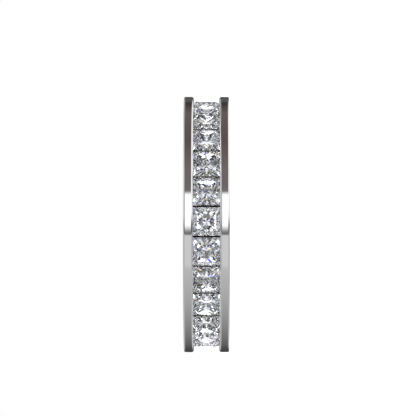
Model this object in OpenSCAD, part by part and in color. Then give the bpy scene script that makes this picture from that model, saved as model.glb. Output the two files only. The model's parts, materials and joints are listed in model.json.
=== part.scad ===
// Channel set band: a full circle of square stones held between two plain rails.
// The ring lies on its side: its axis is Z, the finger goes through along Z, and one flat side rests on Z = 0.
// All sizes are in millimetres.

/* [Ring] */
// Width of the finger hole, a size 6 finger
finger_d = 16.5; // [14:0.1:22]
// Width of each side rail
rail_w = 0.8; // [0.5:0.05:1.6]
// How far the flat tops of the stones lie below the rails
table_recess = 0.36; // [0.2:0.02:0.8]
// Metal between the finger hole and the points of the stones
culet_cover = 0.18; // [0.1:0.01:0.6]
// Width of the light hole drilled under each stone
light_hole_d = 1.2; // [0.8:0.05:1.6]

/* [Edges] */
// Rounding of the rails' edges round the outside
rim_round = 0.15; // [0.05:0.01:0.2]
// Rounding where the finger hole meets the flat sides
bore_round = 0.25; // [0.05:0.01:0.5]
// Rounding of the rails' edges along the channel
lip_round = 0.18; // [0.05:0.01:0.2]

/* [Seat] */
// How far each rail reaches over the edge of a stone
seat_bite = 0.095; // [0.08:0.005:0.2]
// Width of the bearing under the stones, past the face of the rail
bearing_w = 0.18; // [0.05:0.01:0.3]
// Clearance between a stone and its seat
seat_gap = 0.02; // [0.01:0.005:0.05]
// Clearance between a stone's point and the light hole around it
hole_gap = 0.1; // [0.05:0.01:0.2]

/* [Stones] */
// Number of stones round the ring
stone_count = 26; // [20:1:34]
// Clearance between neighbouring stones
stone_gap = 0.08; // [0.01:0.005:0.1]
// Depth of the pavilion below the girdle, as a share of the stone's side
pavilion_share = 0.58; // [0.45:0.01:0.65]
// Thickness of the girdle, as a share of the side
girdle_share = 0.03; // [0.02:0.005:0.06]
// Height of the crown above the girdle, as a share of the side
crown_share = 0.14; // [0.06:0.01:0.16]
// Width of the table, as a share of the side
table_share = 0.66; // [0.6:0.01:0.78]
// Length cut off each corner of the table, as a share of the side
table_corner_share = 0.1; // [0.03:0.01:0.12]

/* [Hidden] */
// Chevrons of the pavilion along the middle of each side, from the girdle down:
// [distance from the stone's axis as a share of half the side, depth as a share of the pavilion]
CHEVRONS = [[0.86, 0.2], [0.68, 0.42], [0.5, 0.62], [0.32, 0.78], [0.16, 0.9]];
// The crown's break along the middle of each side: the same distance, and height as a share of the crown
STAR = [0.88, 0.55];
OUT = 0;
ALONG = 1;

half_pitch = 180 / stone_count;
bore_r = finger_d / 2;
culet_r = bore_r + culet_cover;

// The girdle's lower edge is where two stones come nearest, so it sets their size
gap_across = stone_gap / cos(half_pitch);
girdle_r = (culet_r - pavilion_share * gap_across) / (1 - 2 * pavilion_share * tan(half_pitch));
stone_side = 2 * girdle_r * tan(half_pitch) - gap_across;
half_side = stone_side / 2;
pavilion_h = pavilion_share * stone_side;
girdle_h = girdle_share * stone_side;
crown_h = crown_share * stone_side;

table_r = girdle_r + girdle_h + crown_h;
rim_r = table_r + table_recess;
channel_w = stone_side - 2 * seat_bite;
band_w = channel_w + 2 * rail_w;
mid_z = band_w / 2;

// Slopes of the stone's two facets that lie next to the girdle
pavilion_slope = CHEVRONS[0][ALONG] * pavilion_h / ((1 - CHEVRONS[0][OUT]) * half_side);
crown_slope = STAR[ALONG] * crown_h / ((1 - STAR[OUT]) * half_side);

// The seat: a groove under each rail's lip, and a sloped bearing below it.
// The stones are flat and the groove is round, so it has room for the stones' corners.
groove_half = half_side + seat_gap;
lip_half = channel_w / 2;
bearing_half = lip_half - bearing_w;
girdle_top_r = norm([girdle_r + girdle_h, half_side]) + seat_gap;
lip_r = norm([girdle_r + girdle_h + crown_slope * seat_bite, half_side]) + seat_gap;
girdle_foot_r = girdle_r - seat_gap;
bearing_r = girdle_foot_r - pavilion_slope * (groove_half - bearing_half);

// The channel's floor lies where the stone's point is narrow enough to drop into the light hole
floor_r = culet_r + pavilion_h * (light_hole_d / 2 - hole_gap) / (half_side * sqrt(2));

over = 1;
round_fn = 96;

function stone_name(i) = str("stone_", i < 10 ? "0" : "", i);

// What a round edge takes off the square corner of a section at [x, y]
module corner_waste(x, y, flip_x, flip_y, radius) {
    translate([x, y])
        mirror([flip_x, 0])
            mirror([0, flip_y])
                difference() {
                    translate([-over, -over]) square(over + radius);
                    translate([radius, radius]) circle(radius, $fn = round_fn);
                }
}

// The hollow of the channel, from its floor up past the rim, about the middle of the band's width
module channel_section() {
    right = [
        [floor_r, bearing_half],
        [bearing_r, bearing_half],
        [girdle_foot_r, groove_half],
        [girdle_top_r, groove_half],
        [lip_r, lip_half],
        [rim_r + over, lip_half]
    ];
    left = [for (i = [len(right) - 1:-1:0]) [right[i].x, -right[i].y]];
    polygon(concat(right, left));
}

// Half the ring cut through: X is the distance from the ring's axis, Y the height above the side it lies on
module band_section() {
    difference() {
        translate([bore_r, 0]) square([rim_r - bore_r, band_w]);
        translate([0, mid_z]) channel_section();
        corner_waste(bore_r, 0, 0, 0, bore_round);
        corner_waste(bore_r, band_w, 0, 1, bore_round);
        corner_waste(rim_r, 0, 1, 0, rim_round);
        corner_waste(rim_r, band_w, 1, 1, rim_round);
        corner_waste(rim_r, rail_w, 1, 1, lip_round);
        corner_waste(rim_r, band_w - rail_w, 1, 0, lip_round);
    }
}

// Places its children at stone number i, with X pointing straight out of the ring.
// The first and the last stone lie on either side of the ring's own X axis.
module at_stone(i) {
    rotate([0, 0, half_pitch * (2 * i - 1)]) translate([0, 0, mid_z]) children();
}

module light_hole() {
    translate([bore_r - over, 0, 0])
        rotate([0, 90, 0])
            cylinder(h = floor_r - bore_r + 2 * over, d = light_hole_d, $fn = round_fn);
}

module band() color("gainsboro") {
    difference() {
        rotate_extrude($fn = round_fn) band_section();
        for (i = [1:stone_count]) at_stone(i) light_hole();
    }
}

// A stone stands on Z = 0 at the lower edge of its girdle, with Z pointing to its table.
// Its corners repeat in quarters: each quarter is a named list of points, turned about Z.
function turned(p, quarter) = [
    p.x * cos(90 * quarter) - p.y * sin(90 * quarter),
    p.x * sin(90 * quarter) + p.y * cos(90 * quarter),
    p.z
];
table_half = table_share * half_side;
table_end = table_half - table_corner_share * stone_side;
top_z = girdle_h + crown_h;
QUARTER = [
    [table_half, table_end, top_z],
    [table_end, table_half, top_z],
    [half_side, half_side, girdle_h],
    [half_side, half_side, 0],
    [STAR[OUT] * half_side, 0, girdle_h + STAR[ALONG] * crown_h],
    for (c = CHEVRONS) [c[OUT] * half_side, 0, -c[ALONG] * pavilion_h]
];
TABLE_A = 0;
TABLE_B = 1;
GIRDLE_TOP = 2;
GIRDLE_FOOT = 3;
STAR_TIP = 4;
CHEVRON_TIP = 5;
last_tip = CHEVRON_TIP + len(CHEVRONS) - 1;
culet = 4 * len(QUARTER);

function at(quarter, corner) = len(QUARTER) * ((quarter + 4) % 4) + corner;

// The facets of one quarter, on the side between the corner before it and its own corner
function quarter_facets(q) = [
    [at(q, TABLE_A), at(q, TABLE_B), at(q, GIRDLE_TOP)],
    [at(q - 1, TABLE_B), at(q, TABLE_A), at(q, STAR_TIP)],
    [at(q, TABLE_A), at(q, GIRDLE_TOP), at(q, STAR_TIP)],
    [at(q - 1, GIRDLE_TOP), at(q - 1, TABLE_B), at(q, STAR_TIP)],
    [at(q, GIRDLE_TOP), at(q - 1, GIRDLE_TOP), at(q, STAR_TIP)],
    [at(q - 1, GIRDLE_TOP), at(q, GIRDLE_TOP), at(q, GIRDLE_FOOT), at(q - 1, GIRDLE_FOOT)],
    [at(q - 1, GIRDLE_FOOT), at(q, GIRDLE_FOOT), at(q, CHEVRON_TIP)],
    for (tip = [CHEVRON_TIP:last_tip - 1])
        each [
            [at(q, GIRDLE_FOOT), at(q, tip + 1), at(q, tip)],
            [at(q - 1, GIRDLE_FOOT), at(q, tip), at(q, tip + 1)]
        ],
    [at(q, GIRDLE_FOOT), culet, at(q, last_tip)],
    [at(q - 1, GIRDLE_FOOT), at(q, last_tip), culet]
];

module princess_stone() {
    points = [
        for (q = [0:3]) each [for (p = QUARTER) turned(p, q)],
        [0, 0, -pavilion_h]
    ];
    table = [for (q = [3:-1:0]) each [at(q, TABLE_B), at(q, TABLE_A)]];
    polyhedron(points, concat([table], [for (q = [0:3]) each quarter_facets(q)]));
}

module stone(i) color("aliceblue") {
    at_stone(i) translate([girdle_r, 0, 0]) rotate([0, 90, 0]) princess_stone();
}

band();
for (i = [1:stone_count]) stone(i);
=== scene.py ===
"""The looks of a channel set band: polished white gold round square diamonds, on a pale studio floor."""

import json
import logging
import math
from dataclasses import dataclass, field
from enum import Enum

import bpy
import numpy as np
from mathutils import Matrix, Vector


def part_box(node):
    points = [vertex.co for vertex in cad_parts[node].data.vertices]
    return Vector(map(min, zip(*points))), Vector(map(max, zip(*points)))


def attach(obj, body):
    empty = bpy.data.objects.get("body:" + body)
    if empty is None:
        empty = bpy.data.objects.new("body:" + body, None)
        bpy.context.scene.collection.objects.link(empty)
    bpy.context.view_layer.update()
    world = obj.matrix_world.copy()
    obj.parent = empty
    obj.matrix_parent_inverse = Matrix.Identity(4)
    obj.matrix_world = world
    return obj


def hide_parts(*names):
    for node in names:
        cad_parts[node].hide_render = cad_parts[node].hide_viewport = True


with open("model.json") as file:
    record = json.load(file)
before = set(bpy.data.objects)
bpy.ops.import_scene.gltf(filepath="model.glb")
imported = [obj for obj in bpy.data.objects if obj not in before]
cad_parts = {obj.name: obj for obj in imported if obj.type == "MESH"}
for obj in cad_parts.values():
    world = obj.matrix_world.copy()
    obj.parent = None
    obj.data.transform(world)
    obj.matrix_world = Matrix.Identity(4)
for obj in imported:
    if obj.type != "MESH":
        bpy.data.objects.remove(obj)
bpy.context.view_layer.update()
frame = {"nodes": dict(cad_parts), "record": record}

MM = 0.001
WHITE = "#ffffff"
LOG = logging.getLogger("band")

# Sockets of a Mix node: the share, its two numbers, its two colours, and the colour that comes out
SHARE, NUMBER_A, NUMBER_B, COLOUR_A, COLOUR_B, MIXED = 0, 2, 3, 6, 7, 2

# A linear colour, one stop of a ring of cards, and the stops of a ramp of plain numbers
Linear = tuple[float, float, float, float]
Stop = tuple[float, float, str]
Levels = tuple[tuple[float, float], ...]


class Slot(Enum):
    """The record's material slots."""

    METAL = "white_gold"
    STONE = "diamond"


class Facing(Enum):
    """The way a round wall faces, as the sign of its normal."""

    AXIS = -1
    OUTSIDE = 1


class Ease(Enum):
    """How a ramp runs between two stops."""

    STRAIGHT = "LINEAR"
    STEPPED = "CONSTANT"


class Ray(Enum):
    """Kinds of rays that the studio answers each in its own way, as the Light Path node names them."""

    REFRACTED = "Is Transmission Ray"
    SHARP = "Is Singular Ray"
    MATTE = "Is Diffuse Ray"
    CAMERA = "Is Camera Ray"


def hex_linear(colour: str) -> Linear:
    """Turns an sRGB hex colour to the linear one that shaders use.

    Args:
        colour: Six hex digits after a hash sign.

    Returns:
        Red, green and blue, linear, and a fourth value of one.
    """
    parts = [int(colour[i : i + 2], 16) / 255 for i in (1, 3, 5)]
    linear = [c / 12.92 if c <= 0.04045 else ((c + 0.055) / 1.055) ** 2.4 for c in parts]
    return (*linear, 1.0)


def add_node(
    tree: bpy.types.NodeTree,
    kind: str,
    settings: dict[str, object] | None = None,
    inputs: dict[str | int, object] | None = None,
) -> bpy.types.Node:
    """Adds one node with its settings and its links.

    Args:
        tree: The node tree that gets it.
        kind: The node's type name.
        settings: Values of the node's own properties.
        inputs: For each input, by name or number, a value or the output socket that feeds it.

    Returns:
        The new node.
    """
    made = tree.nodes.new(kind)
    for name, value in (settings or {}).items():
        setattr(made, name, value)
    for name, value in (inputs or {}).items():
        if isinstance(value, bpy.types.NodeSocket):
            tree.links.new(value, made.inputs[name])
        else:
            made.inputs[name].default_value = value
    return made


def set_ramp(node: bpy.types.Node, stops: list[tuple[float, Linear]], ease: Ease = Ease.STRAIGHT) -> None:
    """Gives a Color Ramp node its stops.

    Args:
        node: The Color Ramp node.
        stops: Position and linear colour of each stop, in rising order.
        ease: How the ramp runs between two stops.
    """
    ramp = node.color_ramp
    ramp.interpolation = ease.value
    while len(ramp.elements) > 1:
        ramp.elements.remove(ramp.elements[-1])
    ramp.elements[0].position, ramp.elements[0].color = stops[0]
    for position, colour in stops[1:]:
        ramp.elements.new(position).color = colour


def empty_material(name: str) -> bpy.types.Material:
    """Makes a material that has no nodes yet.

    Args:
        name: The real material and how its surface was made.

    Returns:
        The material.
    """
    made = bpy.data.materials.new(name)
    made.use_nodes = True
    made.node_tree.nodes.clear()
    return made


@dataclass(frozen=True)
class RhodiumWhiteGold:
    """18-carat white gold under rhodium plate, cast, turned and mirror polished.

    It gives the eye a near-neutral mirror with a slightly warm grey, whose reflections stay sharp on the
    rails and break up a little where a wheel has softened them. The seats and the light holes are cut
    bright. Only the webs of the channel's floor between two light holes are dull, and painted dark as
    the shade under the stones, which shows as dark lines between the stones.
    """

    colour: str = "#e2e1e1"
    roughness: float = 0.035
    worn_roughness: float = 0.09
    haze_size_mm: float = 1.6
    haze_detail: float = 4.0
    haze_start: float = 0.45
    haze_full: float = 0.8
    turning_pitch_mm: float = 0.09
    turning_detail: float = 2.0
    turning_depth_mm: float = 0.00035
    # Painted shade: the channel floor's webs lie in shade under the stones, so their colour is painted dark
    painted_shade_colour: str = "#4d4a48"
    dull_roughness: float = 0.5

    def material(self) -> bpy.types.Material:
        """Builds the material.

        Returns:
            The finished material.
        """
        made = empty_material("white_gold_rhodium_polished")
        tree = made.node_tree
        place = add_node(tree, "ShaderNodeTexCoord").outputs["Object"]
        dull_painted_shade = add_node(tree, "ShaderNodeAttribute", {"attribute_name": "dull_painted_shade"}).outputs["Fac"]
        # Painted shade: where the mask is set, the metal is painted dark, and it is also dull
        tone = add_node(
            tree,
            "ShaderNodeMix",
            {"data_type": "RGBA"},
            {SHARE: dull_painted_shade, COLOUR_A: hex_linear(self.colour), COLOUR_B: hex_linear(self.painted_shade_colour)},
        )
        dull = add_node(
            tree,
            "ShaderNodeMix",
            inputs={SHARE: dull_painted_shade, NUMBER_A: self.haze(tree, place), NUMBER_B: self.dull_roughness},
        )
        shader = add_node(
            tree,
            "ShaderNodeBsdfPrincipled",
            inputs={
                "Base Color": tone.outputs[MIXED],
                "Metallic": 1.0,
                "Roughness": dull.outputs[0],
                "Normal": self.turning_lines(tree, place),
            },
        )
        add_node(tree, "ShaderNodeOutputMaterial", inputs={"Surface": shader.outputs[0]})
        return made

    def haze(self, tree: bpy.types.NodeTree, place: bpy.types.NodeSocket) -> bpy.types.NodeSocket:
        """Faint haze that the buffing wheel leaves in soft patches.

        Args:
            tree: The material's nodes.
            place: The point on the piece.

        Returns:
            The roughness.
        """
        patches = add_node(
            tree,
            "ShaderNodeTexNoise",
            inputs={"Vector": place, "Scale": 1 / (self.haze_size_mm * MM), "Detail": self.haze_detail},
        )
        rough = add_node(
            tree,
            "ShaderNodeMapRange",
            inputs={
                "Value": patches.outputs["Fac"],
                "From Min": self.haze_start,
                "From Max": self.haze_full,
                "To Min": self.roughness,
                "To Max": self.worn_roughness,
            },
        )
        return rough.outputs["Result"]

    def turning_lines(self, tree: bpy.types.NodeTree, place: bpy.types.NodeSocket) -> bpy.types.NodeSocket:
        """Fine rings round the axis, which follow height and radius alone.

        The real ones are finer than the picture can show, so they are drawn coarse enough to show.

        Args:
            tree: The material's nodes.
            place: The point on the piece.

        Returns:
            The bent normal.
        """
        split = add_node(tree, "ShaderNodeSeparateXYZ", inputs={0: place}).outputs
        flat = add_node(tree, "ShaderNodeCombineXYZ", inputs={"X": split["X"], "Y": split["Y"]})
        radius = add_node(tree, "ShaderNodeVectorMath", {"operation": "LENGTH"}, {0: flat.outputs[0]})
        rings = add_node(
            tree, "ShaderNodeCombineXYZ", inputs={"X": radius.outputs["Value"], "Y": split["Z"]}
        )
        lines = add_node(
            tree,
            "ShaderNodeTexNoise",
            inputs={
                "Vector": rings.outputs[0],
                "Scale": 1 / (self.turning_pitch_mm * MM),
                "Detail": self.turning_detail,
            },
        )
        relief = add_node(
            tree,
            "ShaderNodeBump",
            inputs={
                "Height": lines.outputs["Fac"],
                "Distance": self.turning_depth_mm * MM,
                "Strength": 1.0,
            },
        )
        return relief.outputs["Normal"]


@dataclass(frozen=True)
class ColourlessDiamond:
    """Colourless diamond, cut and polished, with a bruted girdle.

    It gives the eye a mosaic of mirrors: each facet sends back a different piece of the room, white or
    black. The girdle is dull, and painted dark as the shade of the seat round it, which draws a thin
    line round each stone. Its two edges are heights along the stone's own axis, counted from the ring's
    axis, and the dullness and the painted shade reach a little past both.
    """

    stone_count: int
    girdle_foot_mm: float
    girdle_top_mm: float
    shade_past_foot_mm: float = 0.0476
    shade_past_top_mm: float = 0.0237
    colour: str = WHITE
    ior: float = 2.417
    mirror_tint: str = "#949494"
    # Painted shade: the girdle's colour is painted dark, as the seat's shade round each stone
    girdle_painted_shade: str = "#343434"
    girdle_roughness: float = 0.6

    def material(self) -> bpy.types.Material:
        """Builds the material.

        Returns:
            The finished material.
        """
        made = empty_material("diamond_colourless_polished")
        tree = made.node_tree
        foot = self.girdle_foot_mm - self.shade_past_foot_mm
        top = self.girdle_top_mm + self.shade_past_top_mm
        girdle_dull_and_shade = add_node(
            tree,
            "ShaderNodeMath",
            {"operation": "COMPARE"},
            {0: self.height_in_stone(tree), 1: (foot + top) / 2 * MM, 2: (top - foot) / 2 * MM},
        ).outputs[0]
        # Painted shade: on the girdle band the stone is painted dark, and it is also dull
        tone = add_node(
            tree,
            "ShaderNodeMix",
            {"data_type": "RGBA"},
            {SHARE: girdle_dull_and_shade, COLOUR_A: hex_linear(self.colour), COLOUR_B: hex_linear(self.girdle_painted_shade)},
        )
        frost = add_node(
            tree, "ShaderNodeMath", {"operation": "MULTIPLY"}, {0: girdle_dull_and_shade, 1: self.girdle_roughness}
        )
        shader = add_node(
            tree,
            "ShaderNodeBsdfPrincipled",
            inputs={
                "Base Color": tone.outputs[MIXED],
                "Metallic": 0.0,
                "Roughness": frost.outputs[0],
                "IOR": self.ior,
                "Transmission Weight": 1.0,
                "Specular Tint": hex_linear(self.mirror_tint),
            },
        )
        add_node(tree, "ShaderNodeOutputMaterial", inputs={"Surface": shader.outputs[0]})
        return made

    def height_in_stone(self, tree: bpy.types.NodeTree) -> bpy.types.NodeSocket:
        """The height along the axis of the stone that a point belongs to, counted from the ring's axis.

        It is the radius times the cosine of the angle from the stone's middle. That angle is what is
        left of the angle round the ring after whole pitches, less half a pitch.

        Args:
            tree: The material's nodes.

        Returns:
            The height in metres.
        """
        pitch = 2 * math.pi / self.stone_count
        place = add_node(tree, "ShaderNodeTexCoord").outputs["Object"]
        flat = add_node(
            tree, "ShaderNodeVectorMath", {"operation": "MULTIPLY"}, {0: place, 1: (1.0, 1.0, 0.0)}
        ).outputs[0]
        radius = add_node(tree, "ShaderNodeVectorMath", {"operation": "LENGTH"}, {0: flat}).outputs["Value"]
        split = add_node(tree, "ShaderNodeSeparateXYZ", inputs={0: flat}).outputs
        height = None
        for operation, first, second, third in (
            ("ARCTAN2", split["Y"], split["X"], 0.0),
            ("DIVIDE", None, pitch, 0.0),
            ("FRACT", None, 0.0, 0.0),
            ("MULTIPLY_ADD", None, pitch, -pitch / 2),
            ("COSINE", None, 0.0, 0.0),
            ("MULTIPLY", None, radius, 0.0),
        ):
            inputs = {0: first or height, 1: second, 2: third}
            height = add_node(tree, "ShaderNodeMath", {"operation": operation}, inputs).outputs[0]
        return height


@dataclass(frozen=True)
class MattePaper:
    """White seamless paper under the ring, matte, so that it shows a soft shadow and no reflection."""

    colour: str = "#f6f6f6"
    roughness: float = 1.0

    def material(self) -> bpy.types.Material:
        """Builds the material.

        Returns:
            The finished material.
        """
        made = empty_material("studio_paper_matte")
        tree = made.node_tree
        shader = add_node(
            tree,
            "ShaderNodeBsdfDiffuse",
            inputs={"Color": hex_linear(self.colour), "Roughness": self.roughness},
        )
        add_node(tree, "ShaderNodeOutputMaterial", inputs={"Surface": shader.outputs[0]})
        return made


@dataclass
class Shell:
    """Grids of one closed surface, gathered and welded into one mesh with its true normals."""

    weld_mm: float = 1e-4
    points: list[np.ndarray] = field(default_factory=list)
    normals: list[np.ndarray] = field(default_factory=list)
    dull_painted_shade: list[np.ndarray] = field(default_factory=list)

    def add(self, points: np.ndarray, normals: np.ndarray, dull_painted_shade: bool = False) -> None:
        """Adds the quads of one or more grids, each turned so that it faces along its normals.

        Args:
            points: Array of copies, rows, columns and 3.
            normals: Unit normals of the true surface at the same places.
            dull_painted_shade: Whether the surface is dull and painted dark as shade.
        """
        corners = [(slice(0, -1), slice(0, -1)), (slice(1, None), slice(0, -1))]
        corners += [(slice(1, None), slice(1, None)), (slice(0, -1), slice(1, None))]
        quad = np.stack([points[:, r, c] for r, c in corners], axis=-2).reshape(-1, 4, 3)
        facing = np.stack([normals[:, r, c] for r, c in corners], axis=-2).reshape(-1, 4, 3)
        across = np.cross(quad[:, 2] - quad[:, 0], quad[:, 3] - quad[:, 1])
        wrong = (across * facing.sum(axis=1)).sum(axis=1) < 0
        quad[wrong] = quad[wrong][:, ::-1]
        facing[wrong] = facing[wrong][:, ::-1]
        self.points.append(quad)
        self.normals.append(facing)
        self.dull_painted_shade.append(np.full(len(quad), float(dull_painted_shade)))

    def make(self, name: str) -> bpy.types.Object:
        """Welds the quads' corners and makes the object.

        Args:
            name: The piece's name.

        Returns:
            The object, at the origin, in metres.
        """
        corners = np.concatenate(self.points).reshape(-1, 3)
        normals = np.concatenate(self.normals).reshape(-1, 3)
        keys = np.round(corners / (self.weld_mm * MM)).astype(np.int64)
        _, first, index = np.unique(keys, axis=0, return_index=True, return_inverse=True)
        mesh = bpy.data.meshes.new(name)
        mesh.from_pydata(corners[first], [], index.reshape(-1, 4))
        mesh.shade_smooth()
        mesh.normals_split_custom_set(normals / np.linalg.norm(normals, axis=1, keepdims=True))
        dull_painted_shade = mesh.attributes.new("dull_painted_shade", "FLOAT", "FACE")
        dull_painted_shade.data.foreach_set("value", np.concatenate(self.dull_painted_shade))
        mesh.update()
        made = bpy.data.objects.new(name, mesh)
        bpy.context.scene.collection.objects.link(made)
        return made


@dataclass(frozen=True)
class StoneCut:
    """The square stones' cut, as in the part's source: their side in millimetres, and shares.

    The heights of the pavilion, the girdle and the crown are shares of the side. Next to the girdle lie
    a lower and an upper facet. Out says where each ends, as a share of half the side, and down or up how
    far from the girdle, as a share of the pavilion or the crown.
    """

    side: float
    pavilion_share: float = 0.58
    girdle_share: float = 0.03
    crown_share: float = 0.14
    lower_out: float = 0.86
    lower_down: float = 0.2
    upper_out: float = 0.88
    upper_up: float = 0.55

    def pavilion_slope(self) -> float:
        """How steeply the lower facet falls from the girdle."""
        return 2 * self.pavilion_share * self.lower_down / (1 - self.lower_out)

    def crown_slope(self) -> float:
        """How steeply the upper facet rises from the girdle."""
        return 2 * self.crown_share * self.upper_up / (1 - self.upper_out)


@dataclass
class Band:
    """The metal ring: two rails, the channel between them, its seats, light holes and the finger hole.

    Sizes are in millimetres, and what the stones need follows from them as in the part's source. The
    outside radius and the width come from the frame, and the finger hole's radius from its mount.
    """

    rim_r: float
    width: float
    bore_r: float
    stone_count: int
    rail_w: float = 0.8
    table_recess: float = 0.36
    light_hole_r: float = 0.6
    rim_round: float = 0.15
    lip_round: float = 0.18
    bore_round: float = 0.25
    seat_bite: float = 0.095
    bearing_w: float = 0.18
    seat_gap: float = 0.02
    hole_gap: float = 0.1
    # Where the painted shade starts on the channel's floor, as a share of the way from a light hole's rim
    # to its cell's edge
    painted_shade_share: float = 0.5
    steps_per_stone: int = 12
    side_steps: int = 8
    round_steps: int = 8
    wall_steps: int = 2
    hole_steps: int = 3
    finish: RhodiumWhiteGold = field(default_factory=RhodiumWhiteGold)

    def cut(self) -> StoneCut:
        """The stones' cut: they are as wide as the channel and what each rail reaches over them."""
        return StoneCut(side=self.width - 2 * self.rail_w + 2 * self.seat_bite)

    def girdle_foot_r(self) -> float:
        """How far the lower edge of the girdles lies from the ring's axis, at a stone's middle."""
        cut = self.cut()
        return self.rim_r - self.table_recess - (cut.girdle_share + cut.crown_share) * cut.side

    def girdle_top_r(self) -> float:
        """How far the upper edge of the girdles lies from the ring's axis, at a stone's middle."""
        cut = self.cut()
        return self.girdle_foot_r() + cut.girdle_share * cut.side

    def floor_r(self) -> float:
        """Radius of the channel's floor, where a stone's point is narrow enough for its light hole.

        Returns:
            The radius in millimetres.
        """
        cut = self.cut()
        sunk_share = 1 - math.sqrt(2) * (self.light_hole_r - self.hole_gap) / cut.side
        return self.girdle_foot_r() - cut.pavilion_share * cut.side * sunk_share

    def floor_half(self) -> float:
        """Half the width of the channel's floor."""
        return self.width / 2 - self.rail_w - self.bearing_w

    def channel_wall(self) -> list[tuple[float, float]]:
        """The channel's upper wall: the bearing, the groove for the girdle, and the lip over it.

        The stones are flat and the groove is round, so it leaves room for their corners farther out.

        Returns:
            Distance from the axis and height of each corner, from the floor to the rail's rounded edge.
        """
        cut = self.cut()
        mid, half = self.width / 2, cut.side / 2
        bearing = mid + self.floor_half()
        groove = mid + half + self.seat_gap
        lip = self.width - self.rail_w
        foot = self.girdle_foot_r() - self.seat_gap
        top = self.girdle_top_r()
        under_lip = top + cut.crown_slope() * self.seat_bite
        return [
            (self.floor_r(), bearing),
            (foot - cut.pavilion_slope() * (groove - bearing), bearing),
            (foot, groove),
            (math.hypot(top, half) + self.seat_gap, groove),
            (math.hypot(under_lip, half) + self.seat_gap, lip),
            (self.rim_r - self.lip_round, lip),
        ]

    def arc(self, centre: tuple[float, float], radius: float, start: float, end: float) -> np.ndarray:
        """A round edge of the section: points and normals on a circle between two angles.

        Args:
            centre: Distance from the axis and height of the circle's centre.
            radius: The circle's radius.
            start: First angle in degrees, from straight out.
            end: Last angle.

        Returns:
            Rows of radius, height, and the normal's radial and upward parts.
        """
        turn = np.radians(np.linspace(start, end, self.round_steps + 1))
        out = np.stack([np.cos(turn), np.sin(turn)], axis=1)
        return np.hstack([np.array(centre) + radius * out, out])

    def line(self, start: tuple[float, float], end: tuple[float, float]) -> np.ndarray:
        """A straight stretch of the section, with metal on its left going from start to end.

        Args:
            start: Distance from the axis and height of the first point.
            end: The last point.

        Returns:
            Rows of radius, height, and the normal's radial and upward parts.
        """
        a, b = np.array(start), np.array(end)
        along = (b - a) / np.linalg.norm(b - a)
        normal = np.array([along[1], -along[0]])
        return np.array([[*a, *normal], [*b, *normal]])

    def section(self) -> list[np.ndarray]:
        """The upper half of the section, from the channel's floor round the rail to the bore.

        Returns:
            Each straight or round stretch, in the order of the outline.
        """
        top, wall = self.width, self.channel_wall()
        rim_in, bore_out = self.rim_r - self.rim_round, self.bore_r + self.bore_round
        lip_up = top - self.rail_w + self.lip_round
        return [
            *(self.line(a, b) for a, b in zip(wall[:-1], wall[1:])),
            self.arc((self.rim_r - self.lip_round, lip_up), self.lip_round, -90, 0),
            self.line((self.rim_r, lip_up), (self.rim_r, top - self.rim_round)),
            self.arc((rim_in, top - self.rim_round), self.rim_round, 0, 90),
            self.line((rim_in, top), (bore_out, top)),
            self.arc((bore_out, top - self.bore_round), self.bore_round, 90, 180),
        ]

    def stone_turns(self) -> np.ndarray:
        """The angle of each stone's middle in radians: odd multiples of half the pitch."""
        return np.pi / self.stone_count * np.arange(1, 2 * self.stone_count, 2)

    def revolved(self, shell: Shell, stretch: np.ndarray, turns: np.ndarray) -> None:
        """Turns one stretch of the section round the axis.

        A point at radius r and height z goes to (r cos t, r sin t, z) at each angle t, and its normal
        with it.

        Args:
            shell: What gets the surface.
            stretch: Rows of radius, height, and the normal's radial and upward parts.
            turns: The angles round the ring, closed, in radians.
        """
        radius, height, out, up = (c[:, None] for c in stretch.T)
        cos, sin = np.cos(turns)[None], np.sin(turns)[None]
        points = np.stack(np.broadcast_arrays(radius * cos, radius * sin, height), axis=-1)
        normals = np.stack(np.broadcast_arrays(out * cos, out * sin, up), axis=-1)
        shell.add(points[None] * MM, normals[None])

    def cell_steps(self) -> list[int]:
        """Steps along each of the four sides of one stone's share of a wall."""
        return [self.side_steps, self.steps_per_stone] * 2

    def around_hole(self) -> tuple[np.ndarray, np.ndarray]:
        """The light hole's rim in steps that match the cells of the wall around it.

        Returns:
            Cosine and sine of the angle round the hole, a quarter for each side of the cell, and closed.
        """
        sides = []
        for i, n in enumerate(self.cell_steps()):
            sides.append(np.linspace(-45 + 90 * i, 45 + 90 * i, n + 1)[:-1])
        turn = np.radians(np.concatenate([*sides, sides[0][:1] + 360]))
        return np.cos(turn), np.sin(turn)

    def cell_edge(self, half_height: float) -> tuple[np.ndarray, np.ndarray]:
        """The edge of one stone's share of a wall: angle round the ring and height about the middle.

        Args:
            half_height: Half the wall's height in millimetres.

        Returns:
            The angles in radians, and the heights in millimetres.
        """
        a = math.pi / self.stone_count
        corners = np.array([[a, -half_height], [a, half_height], [-a, half_height], [-a, -half_height]])
        sides = []
        for i, n in enumerate(self.cell_steps()):
            share = np.linspace(0, 1, n + 1)[:-1, None]
            sides.append(corners[i] * (1 - share) + corners[(i + 1) % 4] * share)
        edge = np.concatenate([*sides, corners[:1]])
        return edge[:, 0], edge[:, 1]

    def drilled_wall(self, shell: Shell, radius: float, half_height: float, facing: Facing) -> None:
        """A round wall pierced by the light holes: each cell runs from its hole's rim out to its own edge.

        A point is a share of the way from the rim to the edge, both given as angle round the ring and
        height. On the channel's floor, which faces outside, the outer share is dull and painted dark as
        shade.

        Args:
            shell: What gets the surface.
            radius: The wall's radius.
            half_height: Half its height.
            facing: The way it faces.
        """
        cos, sin = self.around_hole()
        rim = np.stack([np.arcsin(self.light_hole_r * cos / radius), self.light_hole_r * sin], axis=-1)
        edge = np.stack(self.cell_edge(half_height), axis=-1)
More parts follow.
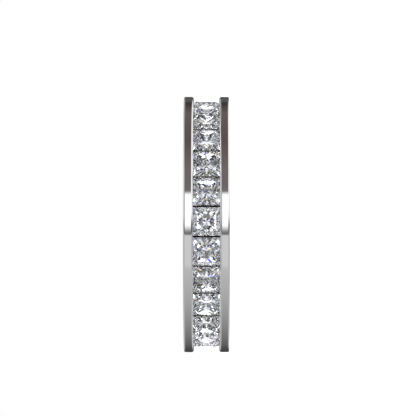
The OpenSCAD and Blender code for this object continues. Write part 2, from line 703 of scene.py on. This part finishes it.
        # The outer share of the channel's floor gets painted shade and is dull
        outer_dull_painted_shade = facing is Facing.OUTSIDE
        for start, end, dull_painted_shade in ((0, self.painted_shade_share, False), (self.painted_shade_share, 1, outer_dull_painted_shade)):
            share = np.linspace(start, end, self.wall_steps + 1)[:, None, None]
            cell = rim[None] * (1 - share) + edge[None] * share
            turn = self.stone_turns()[:, None, None] + cell[None, :, :, 0]
            height = np.broadcast_to(cell[None, :, :, 1] + self.width / 2, turn.shape)
            out = np.stack([np.cos(turn), np.sin(turn), np.zeros_like(turn)], axis=-1)
            points = np.stack([radius * out[..., 0], radius * out[..., 1], height], axis=-1)
            shell.add(points * MM, out * facing.value, dull_painted_shade)

    def light_holes(self, shell: Shell) -> None:
        """The holes' walls: each is round, about an axis that points straight out of the ring.

        A point lies beside that axis by the hole's radius times the cosine, and above it by the radius
        times the sine. Its reach along the axis is a share of the way from the bore's wall to the
        channel's floor.

        Args:
            shell: What gets the surface.
        """
        cos, sin = self.around_hole()
        side = self.light_hole_r * cos
        start, end = (np.sqrt(r**2 - side**2) for r in (self.bore_r, self.floor_r()))
        share = np.linspace(0, 1, self.hole_steps + 1)[:, None]
        reach = start * (1 - share) + end * share
        height = self.light_hole_r * sin + self.width / 2
        turn = self.stone_turns()[:, None, None]
        x = reach * np.cos(turn) - side * np.sin(turn)
        y = reach * np.sin(turn) + side * np.cos(turn)
        points = np.stack(np.broadcast_arrays(x, y, height), axis=-1)
        inward = np.stack(np.broadcast_arrays(cos * np.sin(turn), -cos * np.cos(turn), -sin), axis=-1)
        shell.add(points * MM, np.broadcast_to(inward, points.shape))

    def build(self) -> bpy.types.Object:
        """Makes the whole band as one closed surface, finer than the CAD mesh, so its mirror runs smooth.

        Returns:
            The band's object, which stands for the CAD node.
        """
        shell = Shell()
        turns = np.linspace(0, 2 * np.pi, self.stone_count * self.steps_per_stone + 1)
        for stretch in self.section():
            mirrored = stretch * np.array([1, -1, 1, -1]) + np.array([0, self.width, 0, 0])
            self.revolved(shell, stretch, turns)
            self.revolved(shell, mirrored, turns)
        self.drilled_wall(shell, self.bore_r, self.width / 2 - self.bore_round, Facing.AXIS)
        self.drilled_wall(shell, self.floor_r(), self.floor_half(), Facing.OUTSIDE)
        self.light_holes(shell)
        made = shell.make("polished_band")
        made.data.materials.append(self.finish.material())
        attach(made, "root")
        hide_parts("band")
        return made


@dataclass
class StoneRow:
    """The diamonds, which keep their exact CAD facets. Sizes are in millimetres."""

    names: list[str]
    girdle_foot_r: float
    girdle_top_r: float

    def dress(self) -> list[bpy.types.Object]:
        """Gives every stone the same diamond.

        Returns:
            The stones' objects.
        """
        diamond = ColourlessDiamond(len(self.names), self.girdle_foot_r, self.girdle_top_r).material()
        stones = [frame["nodes"][name] for name in self.names]
        for stone in stones:
            for slot in stone.material_slots:
                slot.material = diamond
        return stones


@dataclass
class Viewpoint:
    """The photograph's view: edge-on, from the ring's middle plane, ten outside diameters away.

    The focal length and the place of the ring's centre in the picture are in pixels.
    """

    rim_r: float
    width: float
    turn_deg: float = -91.4
    distance_in_radii: float = 20.0
    image_px: int = 416
    sensor_mm: float = 36.0
    focal_px: float = 2548.8
    centre_px: tuple[float, float] = (206.5, 224.8)
    near_m: float = 0.005
    far_m: float = 20.0

    def camera(self) -> bpy.types.Object:
        """Places the camera so that the ring stands upright in the picture while it lies on its side.

        Returns:
            The scene's camera.
        """
        turn = math.radians(self.turn_deg)
        back = Vector((math.cos(turn), math.sin(turn), 0))
        up = Vector((-math.sin(turn), math.cos(turn), 0))
        right = up.cross(back)
        centre = Vector((0, 0, self.width / 2 * MM))
        distance = self.distance_in_radii * self.rim_r * MM
        place = centre + back * distance
        per_px = distance / self.focal_px
        middle = self.image_px / 2
        aim = centre + right * (middle - self.centre_px[0]) * per_px
        aim += up * (self.centre_px[1] - middle) * per_px
        back = (place - aim).normalized()
        right = up.cross(back).normalized()
        up = back.cross(right)
        data = bpy.data.cameras.new("camera")
        data.sensor_width = self.sensor_mm
        data.lens = self.focal_px * self.sensor_mm / self.image_px
        data.clip_start, data.clip_end = self.near_m, self.far_m
        made = bpy.data.objects.new("camera", data)
        made.matrix_world = Matrix.Translation(place) @ Matrix((right, up, back)).transposed().to_4x4()
        bpy.context.scene.collection.objects.link(made)
        bpy.context.scene.camera = made
        return made


@dataclass(frozen=True)
class CardRing:
    """Cards round the set at one height, as seen in the metal.

    A stop is degrees from the camera towards the picture's top, brightness and colour. A ring takes over
    from the ones before it between two heights. A height is the upward part of the direction to a card,
    from -1 to 1.
    """

    stops: tuple[Stop, ...]
    starts_at: float = 0.0
    full_at: float = 0.0


@dataclass(frozen=True)
class Cards:
    """White and grey cards round the set, which the polished metal mirrors.

    The level ring shows at middle heights. Of the others, the first takes over below it, the second a
    little above it and the third high up.
    """

    level: CardRing = CardRing(
        (
            (-180, 0.04, WHITE),
            (-150, 0.08, WHITE),
            (-110, 0.27, WHITE),
            (-72, 0.48, WHITE),
            (-40, 0.62, WHITE),
            (-36, 0.76, WHITE),
            (-9.3, 0.76, WHITE),
            (-8.9, 0.12, WHITE),
            (-6, 0.3, WHITE),
            (-0.5, 1.38, WHITE),
            (26.2, 1.38, WHITE),
            (29.7, 0.21, "#fff0f4"),
            (38, 0.19, "#ffeef1"),
            (50, 0.2, "#ffecee"),
            (80, 0.13, "#ffe8df"),
            (118, 0.16, "#ffeae2"),
            (140, 0.05, "#ffeae2"),
            (150, 0.12, WHITE),
            (180, 0.04, WHITE),
        )
    )
    others: tuple[CardRing, ...] = (
        CardRing(
            (
                (-180, 0.7, WHITE),
                (-90, 0.55, WHITE),
                (-9.3, 0.58, WHITE),
                (-8.9, 0.05, WHITE),
                (1, 0.12, WHITE),
                (12, 1.2, WHITE),
                (130, 1.2, WHITE),
                (180, 0.7, WHITE),
            ),
            starts_at=-0.12,
            full_at=-0.3,
        ),
        CardRing(
            (
                (-180, 0.5, WHITE),
                (-60, 0.55, WHITE),
                (-9.3, 0.6, WHITE),
                (-8.9, 0.06, WHITE),
                (22, 0.06, WHITE),
                (45, 0.22, WHITE),
                (62, 0.08, WHITE),
                (100, 0.06, WHITE),
                (125, 0.4, WHITE),
                (180, 0.5, WHITE),
            ),
            starts_at=0.1,
            full_at=0.16,
        ),
        CardRing(
            (
                (-180, 0.6, WHITE),
                (-90, 0.55, WHITE),
                (-9.3, 0.65, WHITE),
                (-8.9, 0.35, WHITE),
                (1, 0.5, WHITE),
                (12, 0.95, WHITE),
                (130, 0.95, WHITE),
                (180, 0.6, WHITE),
            ),
            starts_at=0.45,
            full_at=0.65,
        ),
    )


@dataclass(frozen=True)
class Lamps:
    """Many small lamps and black gaps, which the stones break up into their sparkle.

    They are dim near the camera, which stands in its own light, and brightest beside it. Two ways set
    their strength: toward is the way to the camera, turned a little aside, and down is the way to the
    picture's bottom, turned with it. Each stop is how far a lamp's own way agrees with that, from 1 down
    to -1 for the opposite way, and the strength there. Flat and steep set it by the lamp's height. Count
    is how many lamps lie along the radius of the sphere that they fill.
    """

    count: float = 16.0
    brightness: Levels = ((0.0, 0.06), (0.15, 0.8), (0.6, 1.0))
    tints: tuple[tuple[float, str], ...] = (
        (0.0, "#ffe6cc"),
        (0.1, "#f2ffe6"),
        (0.2, "#f8fbff"),
        (0.6, "#ebf2ff"),
        (0.85, "#e0e2ff"),
        (0.965, "#3c3cd6"),
    )
    aside_deg: float = 8.0
    toward: Levels = (
        (-1.0, 2.4),
        (-0.85, 1.0),
        (-0.7, 0.7),
        (-0.5, 1.2),
        (-0.1, 5.0),
        (0.4, 1.35),
        (1.0, 0.25),
    )
    down: Levels = ((-1.0, 0.7), (-0.85, 0.95), (-0.6, 1.2), (0.0, 1.0), (0.5, 1.5), (1.0, 1.9))
    flat_height: float = 0.2
    flat: float = 0.66
    steep_height: float = 0.6
    steep: float = 1.15


@dataclass
class Studio:
    """Pale floor, soft white light from all round, and what the metal and the stones mirror."""

    camera_turn_deg: float
    floor_size: float = 4.0
    soft_light: float = 1.5
    backdrop: str = WHITE
    light_bounces: int = 32
    clear_bounces: int = 24
    paper: MattePaper = field(default_factory=MattePaper)
    cards: Cards = field(default_factory=Cards)
    lamps: Lamps = field(default_factory=Lamps)

    def floor(self) -> bpy.types.Object:
        """Lays the paper at the height of the side that the ring lies on.

        Returns:
            The floor's object.
        """
        half = self.floor_size / 2
        mesh = bpy.data.meshes.new("floor")
        corners = [(-half, -half, 0), (half, -half, 0), (half, half, 0), (-half, half, 0)]
        mesh.from_pydata(corners, [], [(0, 1, 2, 3)])
        mesh.materials.append(self.paper.material())
        made = bpy.data.objects.new("floor", mesh)
        bpy.context.scene.collection.objects.link(made)
        # The metal and the stones see the cards and the lamps on the floor's side too
        made.visible_glossy = False
        made.visible_transmission = False
        return made

    def ring_colour(
        self, tree: bpy.types.NodeTree, around: bpy.types.NodeSocket, ring: CardRing
    ) -> bpy.types.NodeSocket:
        """One ring of cards.

        Args:
            tree: The world's nodes.
            around: The angle from the camera, from 0 for half a turn back to 1 for half a turn on.
            ring: The cards.

        Returns:
            The light's colour.
        """
        made = add_node(tree, "ShaderNodeValToRGB", inputs={0: around})
        stops = []
        for degrees, level, colour in ring.stops:
            red, green, blue, _ = hex_linear(colour)
            stops.append(((degrees + 180) / 360, (red * level, green * level, blue * level, 1.0)))
        set_ramp(made, stops)
        return made.outputs["Color"]

    def mirrored(self, tree: bpy.types.NodeTree) -> bpy.types.NodeSocket:
        """The cards, by the direction from which their light comes.

        Args:
            tree: The world's nodes.

        Returns:
            The light's colour.
        """
        place = add_node(tree, "ShaderNodeTexCoord")
        turned = add_node(
            tree,
            "ShaderNodeVectorRotate",
            {"rotation_type": "Z_AXIS"},
            {"Vector": place.outputs["Generated"], "Angle": -math.radians(self.camera_turn_deg)},
        )
        toward = add_node(tree, "ShaderNodeSeparateXYZ", inputs={0: turned.outputs[0]}).outputs
        turn = add_node(tree, "ShaderNodeMath", {"operation": "ARCTAN2"}, {0: toward["Y"], 1: toward["X"]})
        around = add_node(
            tree,
            "ShaderNodeMapRange",
            inputs={"Value": turn.outputs[0], "From Min": -math.pi, "From Max": math.pi},
        ).outputs["Result"]
        colour = self.ring_colour(tree, around, self.cards.level)
        for ring in self.cards.others:
            own_share = add_node(
                tree,
                "ShaderNodeMapRange",
                {"interpolation_type": "SMOOTHSTEP"},
                {"Value": toward["Z"], "From Min": ring.starts_at, "From Max": ring.full_at},
            ).outputs["Result"]
            colour = add_node(
                tree,
                "ShaderNodeMix",
                {"data_type": "RGBA"},
                {SHARE: own_share, COLOUR_A: colour, COLOUR_B: self.ring_colour(tree, around, ring)},
            ).outputs[MIXED]
        return colour

    def lamp_colour(self, tree: bpy.types.NodeTree, place: bpy.types.NodeSocket) -> bpy.types.NodeSocket:
        """Cells all over the sphere, each with its own brightness and tint.

        Args:
            tree: The world's nodes.
            place: The direction from which the light comes.

        Returns:
            The lamps' colour at full strength.
        """
        cells = add_node(tree, "ShaderNodeTexVoronoi", inputs={"Vector": place, "Scale": self.lamps.count})
        chance = add_node(tree, "ShaderNodeSeparateColor", inputs={0: cells.outputs["Color"]})
        bright = add_node(tree, "ShaderNodeValToRGB", inputs={0: chance.outputs[0]})
        set_ramp(bright, [(at, (v, v, v, 1.0)) for at, v in self.lamps.brightness], Ease.STEPPED)
        tint = add_node(tree, "ShaderNodeValToRGB", inputs={0: chance.outputs[1]})
        set_ramp(tint, [(at, hex_linear(c)) for at, c in self.lamps.tints], Ease.STEPPED)
        return add_node(
            tree,
            "ShaderNodeMix",
            {"data_type": "RGBA", "blend_type": "MULTIPLY"},
            {SHARE: 1.0, COLOUR_A: bright.outputs["Color"], COLOUR_B: tint.outputs["Color"]},
        ).outputs[MIXED]

    def lamp_strength(self, tree: bpy.types.NodeTree, place: bpy.types.NodeSocket) -> bpy.types.NodeSocket:
        """How strong the lamps are in each direction: the product of three steps, toward, down and height.

        Args:
            tree: The world's nodes.
            place: The direction from which the light comes.

        Returns:
            The strength.
        """
        up = add_node(tree, "ShaderNodeSeparateXYZ", inputs={0: place}).outputs["Z"]
        height = add_node(tree, "ShaderNodeMath", {"operation": "ABSOLUTE"}, {0: up}).outputs[0]
        strength = add_node(
            tree,
            "ShaderNodeMapRange",
            {"interpolation_type": "SMOOTHSTEP"},
            {
                "Value": height,
                "From Min": self.lamps.flat_height,
                "From Max": self.lamps.steep_height,
                "To Min": self.lamps.flat,
                "To Max": self.lamps.steep,
            },
        ).outputs["Result"]
        turn = math.radians(self.camera_turn_deg - self.lamps.aside_deg)
        for way, levels in (
            ((math.cos(turn), math.sin(turn), 0.0), self.lamps.toward),
            ((math.sin(turn), -math.cos(turn), 0.0), self.lamps.down),
        ):
            agree = add_node(tree, "ShaderNodeVectorMath", {"operation": "DOT_PRODUCT"}, {0: place, 1: way})
            share = add_node(
                tree,
                "ShaderNodeMapRange",
                inputs={"Value": agree.outputs["Value"], "From Min": -1.0, "From Max": 1.0},
            )
            step = add_node(tree, "ShaderNodeValToRGB", inputs={0: share.outputs["Result"]})
            set_ramp(step, [((at + 1) / 2, (v, v, v, 1.0)) for at, v in levels])
            strength = add_node(
                tree, "ShaderNodeMath", {"operation": "MULTIPLY"}, {0: strength, 1: step.outputs["Color"]}
            ).outputs[0]
        return strength

    def sparkle(self, tree: bpy.types.NodeTree) -> bpy.types.NodeSocket:
        """The lamps: their colour times their strength.

        Args:
            tree: The world's nodes.

        Returns:
            The light's colour.
        """
        place = add_node(tree, "ShaderNodeTexCoord").outputs["Generated"]
        return add_node(
            tree,
            "ShaderNodeVectorMath",
            {"operation": "SCALE"},
            {0: self.lamp_colour(tree, place), "Scale": self.lamp_strength(tree, place)},
        ).outputs[0]

    def world(self) -> None:
        """Lights the set: lamps for the stones' clear facets, cards for the metal, and white for the rest.

        Even the rails' mirror has a trace of haze, so a perfectly sharp reflection is always a stone's.
        """
        world = bpy.data.worlds.new("studio")
        world.use_nodes = True
        bpy.context.scene.world = world
        tree = world.node_tree
        tree.nodes.clear()
        path = add_node(tree, "ShaderNodeLightPath")
        colour = self.mirrored(tree)
        lamps = self.sparkle(tree)
        for ray, light in (
            (Ray.REFRACTED, lamps),
            (Ray.SHARP, lamps),
            (Ray.MATTE, (self.soft_light,) * 3 + (1.0,)),
            (Ray.CAMERA, hex_linear(self.backdrop)),
        ):
            colour = add_node(
                tree,
                "ShaderNodeMix",
                {"data_type": "RGBA"},
                {SHARE: path.outputs[ray.value], COLOUR_A: colour, COLOUR_B: light},
            ).outputs[MIXED]
        shader = add_node(tree, "ShaderNodeBackground", inputs={"Color": colour, "Strength": 1.0})
        add_node(tree, "ShaderNodeOutputWorld", inputs={"Surface": shader.outputs[0]})
        # Each kind of ray sees its own light, so one map of where the light comes from would be wrong
        world.cycles.sampling_method = "NONE"

    def build(self) -> None:
        """Sets up the studio and how light is traced in it."""
        self.floor()
        self.world()
        scene = bpy.context.scene
        scene.view_settings.view_transform = "Standard"
        scene.cycles.max_bounces = self.light_bounces
        scene.cycles.glossy_bounces = self.clear_bounces
        scene.cycles.transmission_bounces = self.clear_bounces


def main() -> None:
    """Builds the band, its stones, the camera and the studio, and reports each piece."""
    logging.basicConfig(level=logging.INFO, format="%(name)s %(message)s")
    low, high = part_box("band")
    bore = next(m for m in frame["record"]["mounts"] if m["name"] == "finger_bore")
    stones = sorted(n for n in frame["nodes"] if n.startswith("stone_"))
    band = Band(
        rim_r=(high.x - low.x) / 2 / MM,
        width=(high.z - low.z) / MM,
        bore_r=bore["dims"]["r_mm"],
        stone_count=len(stones),
    )
    row = StoneRow(stones, band.girdle_foot_r(), band.girdle_top_r())
    for piece in (band.build(), *row.dress()):
        LOG.info("%s: %d faces", piece.name, len(piece.data.polygons))
    viewpoint = Viewpoint(rim_r=band.rim_r, width=band.width)
    viewpoint.camera()
    Studio(camera_turn_deg=viewpoint.turn_deg).build()


if __name__ == "__main__":
    main()
